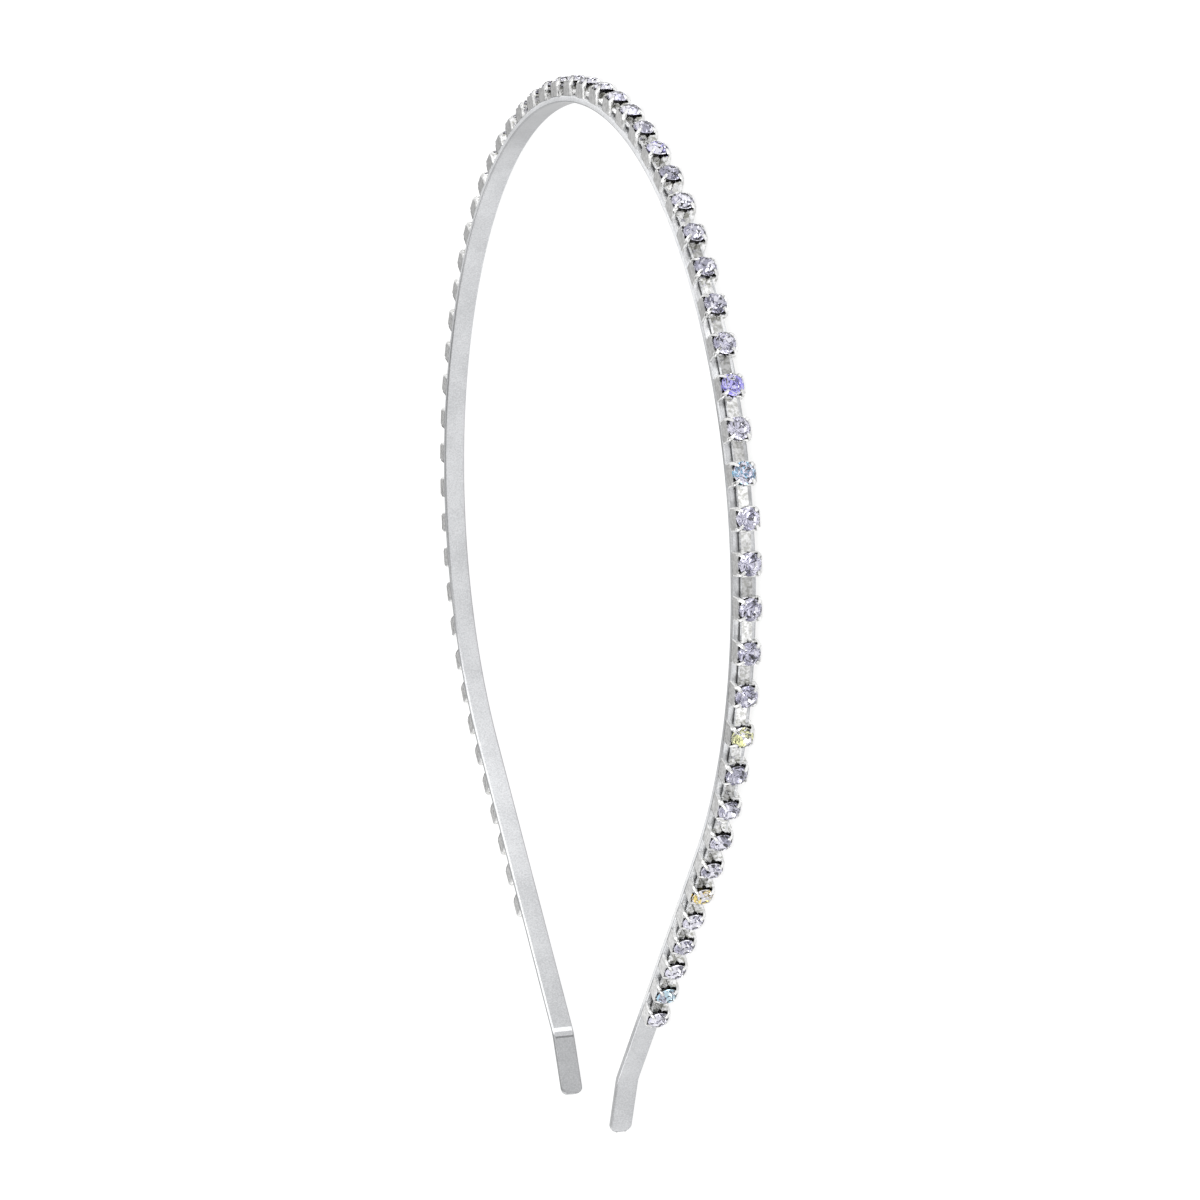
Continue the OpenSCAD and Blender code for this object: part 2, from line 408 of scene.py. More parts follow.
def hoop_legs(hoop):
    """One side of the hoop from the crown's middle to the tip, as (length, turn) pairs."""
    return [
        (hoop.crown_radius * hoop.crown_turn, hoop.crown_turn),
        (hoop.cheek_radius * hoop.cheek_turn, hoop.cheek_turn),
        (hoop.arm_length, 0.0),
        (hoop.flare_radius * hoop.flare_turn, -hoop.flare_turn),
        (hoop.tip_length, 0.0),
    ]


def moved(place, run, turn):
    """The place (x, y, heading) after a run that turns evenly by turn."""
    x, y, heading = place
    if turn == 0:
        return x + run * math.cos(heading), y - run * math.sin(heading), heading
    radius = run / turn
    end = heading + turn
    x += radius * (math.sin(end) - math.sin(heading))
    y += radius * (math.cos(end) - math.cos(heading))
    return x, y, end


def strip_place(hoop, distance):
    """Where the outer face is at a distance from the crown's middle, as (x, y, heading). A negative
    distance is on the far arm."""
    place = (0.0, BAND_HIGH.y, 0.0)
    left = abs(distance)
    for run, turn in hoop_legs(hoop):
        part = min(left, run)
        place = moved(place, part, turn * part / run)
        left -= part
        if left <= 0:
            break
    x, y, heading = place
    return (x, y, heading) if distance >= 0 else (-x, y, -heading)


def upright_on_strip(hoop, distance):
    """Turns a shape whose Z points away from the head, and whose X runs along the strip, to its
    place in the middle of the strip's width."""
    x, y, heading = strip_place(hoop, distance)
    middle = (BAND_LOW.z + BAND_HIGH.z) / 2
    return (
        Matrix.Translation((x, y, middle))
        @ Matrix.Rotation(-heading, 4, "Z")
        @ Matrix.Rotation(-QUARTER_TURN, 4, "X")
    )


def into_mesh(bm, name):
    """Ends the modelling of a mesh."""
    mesh = bpy.data.meshes.new(name)
    bm.to_mesh(mesh)
    bm.free()
    return mesh


def add_copy(bm, unit):
    """Adds a copy of a small mesh, and returns the copy's vertices and faces."""
    verts, faces = len(bm.verts), len(bm.faces)
    bm.from_mesh(unit)
    bm.verts.ensure_lookup_table()
    bm.faces.ensure_lookup_table()
    return bm.verts[verts:], bm.faces[faces:]


def make_piece(name, bm, materials, node, even_normals=True):
    """Makes the piece that stands for a CAD node, with its place in its mesh."""
    mesh = into_mesh(bm, name)
    for material in materials:
        mesh.materials.append(material)
    mesh.shade_smooth()
    mesh.set_sharp_from_angle(angle=SMOOTH_BELOW)
    piece = bpy.data.objects.new(name, mesh)
    bpy.context.scene.collection.objects.link(piece)
    if even_normals:
        piece.modifiers.new("even normals", "WEIGHTED_NORMAL").keep_sharp = True
    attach(piece, "root")
    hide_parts(node)
    return piece


def edges_in(geometry):
    """The edges among what an operator returned."""
    return [part for part in geometry if isinstance(part, bmesh.types.BMEdge)]


def verts_in(geometry):
    """The vertices among what an operator returned."""
    return [part for part in geometry if isinstance(part, bmesh.types.BMVert)]


def everything(bm):
    """All the vertices, edges and faces."""
    return bm.verts[:] + bm.edges[:] + bm.faces[:]


# The bevel profile that gives a quarter circle
ROUND_PROFILE = 0.5


def round_off(bm, geometry, affect, radius, steps):
    """Rounds vertices or edges."""
    bmesh.ops.bevel(
        bm, geom=geometry, affect=affect, offset=radius, offset_type="OFFSET", segments=steps,
        profile=ROUND_PROFILE, material=-1,
    )


# How finely the strip is divided: round its long edges, along a bend and at least along a short one,
# along a straight stretch, round the corners of a tip and round its rim
SECTION_STEPS = 5
BEND_STEP = math.radians(1)
LEAST_BEND_STEPS = 8
STRAIGHT_STEP = 1.5 * MM
TIP_STEPS = 8
RIM_STEPS = 2
# The radius round the rim of a tip, as a share of that along the strip's long edges
RIM_SHARE = 0.5


def strip_section(bm, hoop):
    """The strip's rounded section across the crown's middle, as a loop of edges."""
    inner, outer = BAND_HIGH.y - hoop.thickness, BAND_HIGH.y
    corners = [(inner, BAND_LOW.z), (outer, BAND_LOW.z), (outer, BAND_HIGH.z), (inner, BAND_HIGH.z)]
    face = bm.faces.new([bm.verts.new((0, y, z)) for y, z in corners])
    round_off(bm, face.verts[:], "VERTICES", hoop.edge_round, SECTION_STEPS)
    bmesh.ops.delete(bm, geom=bm.faces[:], context="FACES_ONLY")
    return bm.edges[:]


def bend_strip(bm, loop, place, radius, turn):
    """Carries the section round a bend. A positive turn is towards the head."""
    x, y, heading = place
    side = math.copysign(radius, turn)
    centre = (x - side * math.sin(heading), y - side * math.cos(heading), 0)
    steps = max(LEAST_BEND_STEPS, round(abs(turn) / BEND_STEP))
    made = bmesh.ops.spin(
        bm, geom=loop, cent=centre, axis=(0, 0, 1), angle=-turn, steps=steps, use_duplicate=False,
    )
    return edges_in(made["geom_last"])


def push_strip(bm, loop, heading, run):
    """Carries the section straight on."""
    made = bmesh.ops.extrude_edge_only(bm, edges=loop)["geom"]
    way = Vector((math.cos(heading), -math.sin(heading), 0))
    bmesh.ops.translate(bm, verts=verts_in(made), vec=way * run)
    return [e for e in edges_in(made) if len(e.link_faces) == 1]


def round_tip(bm, loop, heading, hoop):
    """Ends the strip, its width drawn in along a quarter circle."""
    half = (BAND_HIGH.z - BAND_LOW.z) / 2
    middle = BAND_LOW.z + half
    reached = 0.0
    width = half
    for step in range(1, TIP_STEPS + 1):
        part = step / TIP_STEPS * QUARTER_TURN
        run = hoop.tip_round * math.sin(part)
        loop = push_strip(bm, loop, heading, run - reached)
        now = half - hoop.tip_round * (1 - math.cos(part))
        ring = list({v for e in loop for v in e.verts})
        bmesh.ops.scale(
            bm, vec=(1, 1, now / width), space=Matrix.Translation((0, 0, -middle)), verts=ring,
        )
        reached = run
        width = now
    cap = bmesh.ops.contextual_create(bm, geom=loop)["faces"]
    round_off(bm, cap[0].edges[:], "EDGES", hoop.edge_round * RIM_SHARE, RIM_STEPS)


# Painted highlight and shade along the crease on the inner face of a bend, a white stripe, grey, then
# a dark line: share of the bend, and how light it is from there on
CREASE = [(0.0, 1.7), (0.4, 0.95), (0.78, 0.45)]
# How light the inner face is beyond the bend, darker than before it
DARKER_TIP = 0.8
# Painted highlight and shade along each arm, a table for each kind of face: height over the tips' ends
# as a share of the hoop, and how light the strip is painted there
INSIDE = [(0.0, 1.0), (0.09, 1.0), (0.3, 1.28), (0.42, 1.07), (0.92, 1.08), (1.0, 0.6)]
OUTSIDE = [
    (0.0, 1.0), (0.17, 1.0), (0.19, 1.45), (0.42, 1.35), (0.5, 1.0), (0.72, 1.0), (0.78, 1.45), (1.0, 1.45),
]
FAR_EDGE = [
    (0.0, 0.6), (0.058, 0.6), (0.062, 0.8), (0.4, 0.75), (0.55, 0.78), (0.7, 1.0), (0.8, 1.15), (1.0, 1.25),
]
NEAR_EDGE = [
    (0.0, 0.9), (0.13, 0.9), (0.16, 1.8), (0.33, 1.7), (0.43, 0.9), (0.48, 0.77), (0.55, 0.88), (0.65, 1.0),
    (0.69, 0.64), (0.76, 0.97), (0.82, 1.7), (0.9, 1.7), (1.0, 1.25),
]
FAR_INNER_ROUNDING = [
    (0.0, 0.6), (0.058, 0.6), (0.062, 1.7), (0.35, 1.6), (0.45, 0.6), (0.7, 0.65), (1.0, 0.8),
]
NEAR_INNER_ROUNDING = [(0.0, 0.9), (0.13, 0.9), (0.16, 0.65), (0.9, 0.65), (1.0, 0.8)]
FAR_OUTER_ROUNDING = [(0.0, 0.9), (0.13, 0.9), (0.16, 0.6), (0.68, 0.65), (0.78, 1.4), (1.0, 1.55)]
NEAR_OUTER_ROUNDING = [(0.0, 0.9), (0.13, 0.9), (0.16, 0.6), (0.76, 0.6), (0.83, 1.3), (1.0, 1.5)]
OUTER_ROUNDINGS = (FAR_OUTER_ROUNDING, NEAR_OUTER_ROUNDING)
# Painted shade and highlight between two cups: there the outer rounding is at most this light on the far
# arm, and at least this light on the near one. A gap reaches a share of the pitch to each side of its
# middle.
FAR_GAP = 0.75
NEAR_GAP = 0.95
GAP_REACH = 0.25
# How level the normal is at least on the inner and outer face, and at most on a long edge
FACE_LEVEL = 0.97
EDGE_LEVEL = 0.2
# The Y of a point well inside the hoop, towards which the inner face looks
HEAD_MIDDLE = 10 * MM


def along_arm(normal, inward, near):
    """The table for a face of the strip, by the way it faces."""
    level = math.hypot(normal.x, normal.y)
    if level > FACE_LEVEL:
        return INSIDE if inward > 0 else OUTSIDE
    if level < EDGE_LEVEL or normal.z < 0:
        return NEAR_EDGE if near else FAR_EDGE
    if inward < 0:
        return NEAR_OUTER_ROUNDING if near else FAR_OUTER_ROUNDING
    return NEAR_INNER_ROUNDING if near else FAR_INNER_ROUNDING


def along(table, share):
    """Reads a table of (share, value) rows, with straight lines between them."""
    for (left, low), (right, high) in zip(table, table[1:]):
        if share <= right:
            return low + (high - low) * max(0.0, share - left) / (right - left)
    return table[-1][1]


def tint_strip(bm, hoop, row):
    """Paints highlight and shade along the strip face by face, darkens the tips beyond their bends, and
    marks where the row's flux has blotched the strip.
    """
    tint = bm.faces.layers.float_color.new(TINT)
    crown, cheek, arm, flare, _ = [run for run, turn in hoop_legs(hoop)]
    crease = [strip_place(hoop, crown + cheek + arm + part) for part in (0, flare)]
    y_start, y_end = [y - hoop.thickness * math.cos(heading) for x, y, heading in crease]
    far_end, near_end = [strip_place(hoop, n * row.pitch)[1] for n in (row.far_stones, row.near_stones)]
    gaps = [strip_place(hoop, n * row.pitch)[:2] for n in range(1 - row.far_stones, row.near_stones)]
    for f in bm.faces:
        at = f.calc_center_median()
        height = (at.y - BAND_LOW.y) / (BAND_HIGH.y - BAND_LOW.y)
        inward = f.normal.dot(Vector((-at.x, HEAD_MIDDLE - at.y, 0)).normalized())
        table = along_arm(f.normal, inward, at.x > 0)
        shade = along(table, height)
        if table in OUTER_ROUNDINGS and min(math.dist(at.xy, gap) for gap in gaps) < GAP_REACH * row.pitch:
            shade = max(shade, NEAR_GAP) if at.x > 0 else min(shade, FAR_GAP)
        if table is INSIDE and at.y < y_end:
            shade = DARKER_TIP
        elif table is INSIDE and at.y < y_start:
            share = (y_start - at.y) / (y_start - y_end)
            shade = [light for start, light in CREASE if share >= start][-1]
        row_end = near_end if at.x > 0 else far_end
        blotched = 1.0 if table is OUTSIDE and at.y > row_end else 0.0
        f[tint] = (shade, shade, shade, blotched)


class HEADBAND_OT_strip(bpy.types.Operator):
    """Add the bent strip, from one tip over the crown to the other"""

    bl_idname = "headband.strip"
    bl_label = "Strip"

    def execute(self, context):
        hoop = context.scene.headband_hoop
        bm = bmesh.new()
        loop = strip_section(bm, hoop)
        place = (0.0, BAND_HIGH.y, 0.0)
        legs = hoop_legs(hoop)
        for number, (run, turn) in enumerate(legs, 1):
            if turn:
                loop = bend_strip(bm, loop, place, run / abs(turn), turn)
            else:
                straight = run - (hoop.tip_round if number == len(legs) else 0)
                pushes = math.ceil(straight / STRAIGHT_STEP)
                for _ in range(pushes):
                    loop = push_strip(bm, loop, place[2], straight / pushes)
            place = moved(place, run, turn)
        round_tip(bm, loop, place[2], hoop)
        bmesh.ops.mirror(bm, geom=everything(bm), axis="X", merge_dist=MERGE_DISTANCE)
        bmesh.ops.remove_doubles(bm, verts=bm.verts, dist=MERGE_DISTANCE)
        bmesh.ops.recalc_face_normals(bm, faces=bm.faces)
        tint_strip(bm, hoop, context.scene.headband_row)
        make_piece("band_strip", bm, [satin_silver(context.scene.headband_finish)], "band")
        return {"FINISHED"}


# One claw, row by row above the wall, in millimetres: height above the strip, how far its ridge and
# its two sides are from the stone's axis, and half its width
CLAW_ROWS = [
    (2.08, 1.98, 1.78, 0.27),
    (2.36, 1.66, 1.54, 0.22),
    (2.58, 1.27, 1.20, 0.13),
]
DIAGONAL = math.sqrt(2)
# How finely a folded corner is rounded, and how near to the cup's axis no edge is a fold
FOLD_STEPS = 2
CLEAR_OF_AXIS = 0.5 * MM
# How much of a face's normal lies along an axis, at least, for the face to look that way
FACING = 0.5
# The ways in a cup's own space: along the strip, across it and away from it
ALONG = Vector((1, 0, 0))
ACROSS = Vector((0, 1, 0))
AWAY = Vector((0, 0, 1))


def saw(bm, way, places):
    """Cuts the whole mesh square to a way at each place, leaving the pieces joined."""
    for place in places:
        bmesh.ops.bisect_plane(
            bm, geom=everything(bm), dist=MERGE_DISTANCE, plane_co=way * place, plane_no=way,
        )


def is_level(edge):
    """True if both ends of an edge are at one height."""
    return abs(edge.verts[0].co.z - edge.verts[1].co.z) < MERGE_DISTANCE


def is_fold(edge):
    """True if an edge runs up one of the cup's four corners or claws."""
    for v in edge.verts:
        if abs(abs(v.co.x) - abs(v.co.y)) >= MERGE_DISTANCE or abs(v.co.x) <= CLEAR_OF_AXIS:
            return False
    return not is_level(edge)


def open_box(bm, cup):
    """A box with no lid, sawn where it changes later, with a slit in each end wall."""
    bmesh.ops.create_cube(bm, size=1)
    height = cup.wall_top + cup.sunk
    bmesh.ops.scale(bm, vec=(cup.side, cup.side, height), verts=bm.verts)
    bmesh.ops.translate(bm, vec=(0, 0, height / 2 - cup.sunk), verts=bm.verts)
    lid = [f for f in bm.faces if f.normal.z > FACING]
    bmesh.ops.delete(bm, geom=lid, context="FACES_ONLY")
    half_link = cup.link_width / 2
    saw(bm, ALONG, (-cup.claw_root, cup.claw_root))
    saw(bm, ACROSS, (-cup.claw_root, -half_link, -cup.slit_half, cup.slit_half, half_link, cup.claw_root))
    saw(bm, AWAY, (cup.link_base, cup.link_top, cup.slit_base, cup.slit_flare, cup.lean_base))
    slit = [
        f for f in bm.faces
        if abs(f.normal.x) > FACING
        and abs(f.calc_center_median().y) < cup.slit_half
        and f.calc_center_median().z > cup.slit_base
    ]
    bmesh.ops.delete(bm, geom=slit, context="FACES")


def shape_rim(bm, cup):
    """Leans the corners in, lowers the end walls and opens the slits."""
    for v in bm.verts:
        if v.co.z < cup.wall_top - MERGE_DISTANCE:
            continue
        if min(abs(v.co.x), abs(v.co.y)) > cup.claw_root + MERGE_DISTANCE:
            v.co.x = math.copysign(cup.top_corner / DIAGONAL, v.co.x)
            v.co.y = math.copysign(cup.top_corner / DIAGONAL, v.co.y)
            continue
        if abs(v.co.y) > cup.claw_root + MERGE_DISTANCE:
            continue
        if abs(v.co.x) > cup.claw_root + MERGE_DISTANCE:
            v.co.z = cup.end_top
        if abs(abs(v.co.y) - cup.slit_half) < MERGE_DISTANCE:
            v.co.y = math.copysign(cup.slit_mouth, v.co.y)


def raise_claws(bm, cup):
    """Draws a claw up from each corner of the cup and leans it in over the stone."""
    loop = []
    for e in bm.edges:
        middle = (e.verts[0].co + e.verts[1].co) / 2
        if len(e.link_faces) == 1 and min(abs(middle.x), abs(middle.y)) > cup.claw_root:
            loop.append(e)
    for height, ridge, side, half in CLAW_ROWS:
        made = bmesh.ops.extrude_edge_only(bm, edges=loop)["geom"]
        for v in verts_in(made):
            x_way, y_way = math.copysign(1, v.co.x), math.copysign(1, v.co.y)
            at_x, at_y = abs(v.co.x), abs(v.co.y)
            lean = 0 if abs(at_x - at_y) < MERGE_DISTANCE else math.copysign(1, at_x - at_y)
            out = (side if lean else ridge) * MM / DIAGONAL
            aside = lean * half * MM / DIAGONAL
            v.co = Vector((x_way * (out + aside), y_way * (out - aside), height * MM))
        loop = [e for e in edges_in(made) if len(e.link_faces) == 1 and is_level(e)]


def grow_links(bm, cup, reach):
    """Draws the flat bar out of each end wall to a distance from the cup's middle. Its ends are open."""
    root = [
        f for f in bm.faces
        if abs(f.normal.x) > FACING
        and abs(abs(f.calc_center_median().x) - cup.side / 2) < MERGE_DISTANCE
        and abs(f.calc_center_median().y) < cup.link_width / 2
        and cup.link_base < f.calc_center_median().z < cup.link_top
    ]
    made = bmesh.ops.extrude_face_region(bm, geom=root)["geom"]
    bmesh.ops.delete(bm, geom=root, context="FACES")
    for v in verts_in(made):
        v.co.x = math.copysign(reach, v.co.x)
    ends = [f for f in made if isinstance(f, bmesh.types.BMFace)]
    bmesh.ops.delete(bm, geom=ends, context="FACES_ONLY")


def cup_unit(cup, reach):
    """One cup, standing on z = 0, with a link on each side that reaches half the way to the next."""
    bm = bmesh.new()
    open_box(bm, cup)
    shape_rim(bm, cup)
    raise_claws(bm, cup)
    round_off(bm, [e for e in bm.edges if is_fold(e)], "EDGES", cup.fold_round, FOLD_STEPS)
    bmesh.ops.recalc_face_normals(bm, faces=bm.faces)
    bmesh.ops.solidify(bm, geom=bm.faces[:], thickness=cup.wall)
    bmesh.ops.recalc_face_normals(bm, faces=bm.faces)
    # Faces inside the cup take the second material, painted shade
    inside = cup.side / 2 - cup.wall / 2
    for f in bm.faces:
        if all(max(abs(v.co.x), abs(v.co.y)) < inside and v.co.z < cup.wall_top for v in f.verts):
            f.material_index = 1
    grow_links(bm, cup, reach)
    return into_mesh(bm, "cup_unit")


# Painted highlight and shade on the cups' side walls: how light they are, by the cup's place in the row
SIDES = [
    (-31, 0.62), (-20, 0.55), (-6, 0.4), (1, 0.5), (4, 0.62), (11, 0.53), (21, 0.55), (24, 0.8), (32, 0.95),
]
# For the other faces of a cup: how light they are painted, as highlight or shade, and how far its dull
# spots show on them
SIDE_SPOTS = 0.35
NEAR_LINK_SIDE = (1.2, 0.0)
FAR_LINK_SIDE = (0.75, 1.0)
CLAWS = (1.05, 0.2)
END_WALL_OVER_LINK = (1.2, 1.0)
END_WALL_LOW = (1.2, 0.2)
FLOOR_AND_INSIDE = (1.0, 0.3)
# Painted shade and highlight on the bars' upper faces, from the darkest bar's to the lightest one's
LINK_DARKEST = 0.5
LINK_RANGE = 0.75
LINK_SPOTS = 0.6
# Multiples of the golden section spread evenly, so that neighbouring bars differ
GOLDEN = 0.618034


def cup_tint(at, place, cup):
    """How light a face is painted, as highlight or shade, at a point of the cup at a place in the row, and
    how far spots show on it.
    """
    side = cup.side / 2
    if abs(at.x) > side + MERGE_DISTANCE and at.z < cup.link_top - MERGE_DISTANCE:
        return NEAR_LINK_SIDE if place >= 0 else FAR_LINK_SIDE
    if abs(at.x) > side + MERGE_DISTANCE:
        gap = place + (1 if at.x > 0 else 0)
        return LINK_DARKEST + LINK_RANGE * (gap * GOLDEN % 1), LINK_SPOTS
    if at.z > cup.wall_top:
        return CLAWS
    if abs(at.y) > side - MERGE_DISTANCE:
        return along(SIDES, place), SIDE_SPOTS
    if abs(at.x) > side - MERGE_DISTANCE:
        return END_WALL_OVER_LINK if at.z > cup.link_top else END_WALL_LOW
    return FLOOR_AND_INSIDE


class HEADBAND_OT_cup_chain(bpy.types.Operator):
    """Add the row of claw cups and the flat bars that join them"""

    bl_idname = "headband.cup_chain"
    bl_label = "Cup chain"

    def execute(self, context):
        scene = context.scene
        hoop, row, cup = scene.headband_hoop, scene.headband_row, scene.headband_cup
        reach = row.pitch / 2
        unit = cup_unit(cup, reach)
        first, last = -row.far_stones, row.near_stones - 1
        bm = bmesh.new()
        tint = bm.faces.layers.float_color.new(TINT)
        seams = []
        for place in range(first, last + 1):
            middle = (place + 0.5) * row.pitch
            seat = upright_on_strip(hoop, middle)
            verts, faces = add_copy(bm, unit)
            for f in faces:
                shade, spots = cup_tint(f.calc_center_median(), place, cup)
                f[tint] = (shade, shade, shade, spots)
            for v in verts:
                if abs(v.co.x) < reach - MERGE_DISTANCE:
                    v.co = seat @ v.co
                    continue
                way = math.copysign(1, v.co.x)
                if place == (first if way < 0 else last):
                    v.co.x = way * (cup.side / 2 + cup.stub)
                    v.co = seat @ v.co
                else:
                    v.co.x = 0
                    v.co = upright_on_strip(hoop, middle + way * reach) @ v.co
                seams.append(v)
        bmesh.ops.remove_doubles(bm, verts=seams, dist=MERGE_DISTANCE)
        rims = [e for e in bm.edges if len(e.link_faces) == 1]
        bmesh.ops.holes_fill(bm, edges=rims, sides=0)
        bmesh.ops.recalc_face_normals(bm, faces=bm.faces)
        bpy.data.meshes.remove(unit)
        plates = [bright_silver(scene.headband_finish), shaded_inside_plate(scene.headband_finish)]
        make_piece("cup_chain_detail", bm, plates, "cup_chain")
        return {"FINISHED"}


# How many main facets a stone has above and below, and how many sides its blank has
MAIN_FACETS = 8
BLANK_SIDES = 32
# The slope of the star facets, and how much steeper the halves are than the mains above and below
STAR_SLOPE = math.radians(24)
UPPER_STEEPER = math.radians(5)
LOWER_STEEPER = math.radians(2)
# Points nearer to a facet's plane than this lie on it
GRIND_DISTANCE = MERGE_DISTANCE / 10
# A facet whose normal points down at least this much is foiled
FOILED_BELOW = -0.1


def grind(bm, direction, slope, radius, height):
    """Grinds one flat facet. Its outward normal leans from the axis by slope, and it passes
    through the point at a radius and height."""
    way = Vector((math.cos(direction), math.sin(direction), 0))
    normal = way * math.sin(slope) + Vector((0, 0, math.cos(slope)))
    point = way * radius + Vector((0, 0, height))
    cut = bmesh.ops.bisect_plane(
        bm, geom=everything(bm), dist=GRIND_DISTANCE, plane_co=point, plane_no=normal, clear_outer=True,
    )["geom_cut"]
    rim = edges_in(cut)
    if len(rim) > 2:
        bmesh.ops.contextual_create(bm, geom=rim)


def stone_unit(stone):
    """A round stone ground from a blank: table, eight crown mains, eight stars and sixteen halves,
    and a pavilion of eight mains and sixteen halves."""
    girdle = stone.diameter / 2
    bm = bmesh.new()
    tall = stone.table_top - stone.culet
    bmesh.ops.create_cone(
        bm, cap_ends=True, cap_tris=False, segments=BLANK_SIDES, radius1=girdle, radius2=girdle, depth=tall,
    )
    bmesh.ops.translate(bm, vec=(0, 0, stone.culet + tall / 2), verts=bm.verts)
    table = girdle * stone.table_share
    crown = stone.table_top - stone.girdle_top
    pavilion = stone.girdle_base - stone.culet
    crown_slope = math.atan2(crown, girdle - table)
    pavilion_slope = math.atan2(pavilion, girdle)
    step = 2 * math.pi / MAIN_FACETS
    for k in range(MAIN_FACETS):
        main = k * step
        star = main + step / 2
        grind(bm, main, crown_slope, girdle, stone.girdle_top)
        grind(bm, star, STAR_SLOPE, table * math.cos(step / 2), stone.table_top)
        grind(bm, main, math.pi - pavilion_slope, girdle, stone.girdle_base)
        for side in (-1, 1):
            half = main + side * step / 4
            grind(bm, half, crown_slope + UPPER_STEEPER, girdle, stone.girdle_top)
            grind(bm, half, math.pi - pavilion_slope - LOWER_STEEPER, girdle, stone.girdle_base)
    bmesh.ops.remove_doubles(bm, verts=bm.verts, dist=MERGE_DISTANCE)
    bmesh.ops.recalc_face_normals(bm, faces=bm.faces)
    for f in bm.faces:
        f.material_index = 1 if f.normal.z < FOILED_BELOW else 0
    return into_mesh(bm, "stone_unit")


# The stones that flash a colour, painted on their foil as a glint, counted from the crown's middle
# towards the near tip: the colour, and how far a facet's normal points along the stone's own X, at
# least, for it to flash
FLASHES = {
    6: ("violet", -0.3),
    13: ("violet", -0.6),
    15: ("sky", -0.3),
    21: ("lemon", 0.2),
    26: ("gold", -0.6),
    30: ("ice", -0.6),
}
NO_FLASH = ("foil", 1.0)
# In a flashing stone, one facet in so many stays plain
PLAIN_IN = 3
# Painted reflections: how much light the foil behind each facet gives back, facet by facet, and then
# from the start again
SPARKLE = [1.0, 0.45, 0.9, 1.0, 0.4, 0.95, 1.0, 0.8, 0.5, 0.98, 0.85, 0.6, 1.0]
# How much further along that list each stone starts than the one before
SPARKLE_SHIFT = 3
# The power to which a facet's painted light is raised for its blue, which leaves dim facets lavender
LAVENDER = 0.85
# How much further each stone is turned in its cup than the one before, the most that a stone leans,
# and how often its lean swings to and fro while its turn goes round once
TURN_STEP = math.radians(137.5)
LEAN = math.radians(2.5)
LEAN_WAVES = 3


def stone_seat(hoop, row, pivot, place):
    """Turns a stone to its place in the row, with its own turn and a small lean about its girdle."""
    turn = place * TURN_STEP
    axis = (math.cos(turn), math.sin(turn), 0)
    lean = Matrix.Rotation(LEAN * math.sin(LEAN_WAVES * turn), 4, axis)
    return (
        upright_on_strip(hoop, (place + 0.5) * row.pitch)
        @ pivot @ lean @ Matrix.Rotation(turn, 4, "Z") @ pivot.inverted()
    )


def foil_tint(normal, number, place, finish):
    """The foil's colour behind a numbered facet of the stone at a place in the row: its own colour with
    painted reflections, or a painted glint.
    """
    fire, least = FLASHES.get(place, NO_FLASH)
    if normal.x > least:
        shade = getattr(finish, fire) if number % PLAIN_IN else finish.foil
        return shade[0], shade[1], shade[2], 1.0
    light = SPARKLE[(number + SPARKLE_SHIFT * place) % len(SPARKLE)]
    return finish.foil[0] * light, finish.foil[1] * light, finish.foil[2] * light ** LAVENDER, 1.0


class HEADBAND_OT_rhinestones(bpy.types.Operator):
    """Add the faceted stones in their cups"""

    bl_idname = "headband.rhinestones"
    bl_label = "Rhinestones"

    def execute(self, context):
        scene = context.scene
        hoop, row, finish = scene.headband_hoop, scene.headband_row, scene.headband_finish
        unit = stone_unit(scene.headband_stone)
        pivot = Matrix.Translation((0, 0, scene.headband_stone.girdle_base))
        bm = bmesh.new()
        tint = bm.faces.layers.float_color.new(TINT)
        for place in range(-row.far_stones, row.near_stones):
            verts, faces = add_copy(bm, unit)
            for number, f in enumerate(faces):
                f[tint] = foil_tint(f.normal, number, place, finish)
            bmesh.ops.transform(bm, matrix=stone_seat(hoop, row, pivot, place), verts=verts)
        bpy.data.meshes.remove(unit)
        piece = make_piece(
            "rhinestones_cut", bm, [cut_glass(finish), mirror_foil()], "rhinestones",
            even_normals=False,
        )
        piece.data.shade_flat()
        return {"FINISHED"}


def lit_table(finish):
    """Opal acrylic table, lit from below: it gives an even white that swallows most shadows."""
    material, tree = new_material("lit_opal_acrylic")
    place = add_node(tree, "ShaderNodeTexCoord").outputs["Object"]
    mottle = add_node(tree, "ShaderNodeTexNoise", {"Vector": place, "Scale": 1 / MOTTLE, "Detail": 2.0})
    tone = add_node(
        tree, "ShaderNodeValToRGB", {"Fac": mottle.outputs["Fac"]},
        [(NOISE_LOW, finish.floor), (NOISE_HIGH, finish.floor_light)],
    )
    return finished(material, {
        "Base Color": tone.outputs["Color"],
        "Roughness": 0.9,
        "Specular IOR Level": 0.0,
        "Emission Color": WHITE,
        "Emission Strength": 0.8,
    })


def add_floor(scene):
    """A large flat floor under the headband."""
    bm = bmesh.new()
    bmesh.ops.create_grid(bm, x_segments=1, y_segments=1, size=scene.headband_studio.floor_side / 2)
    mesh = into_mesh(bm, "studio_floor")
    mesh.materials.append(lit_table(scene.headband_finish))
    floor = bpy.data.objects.new("studio_floor", mesh)
    scene.collection.objects.link(floor)


# In millimetres, as the lens
SENSOR_WIDTH = 36


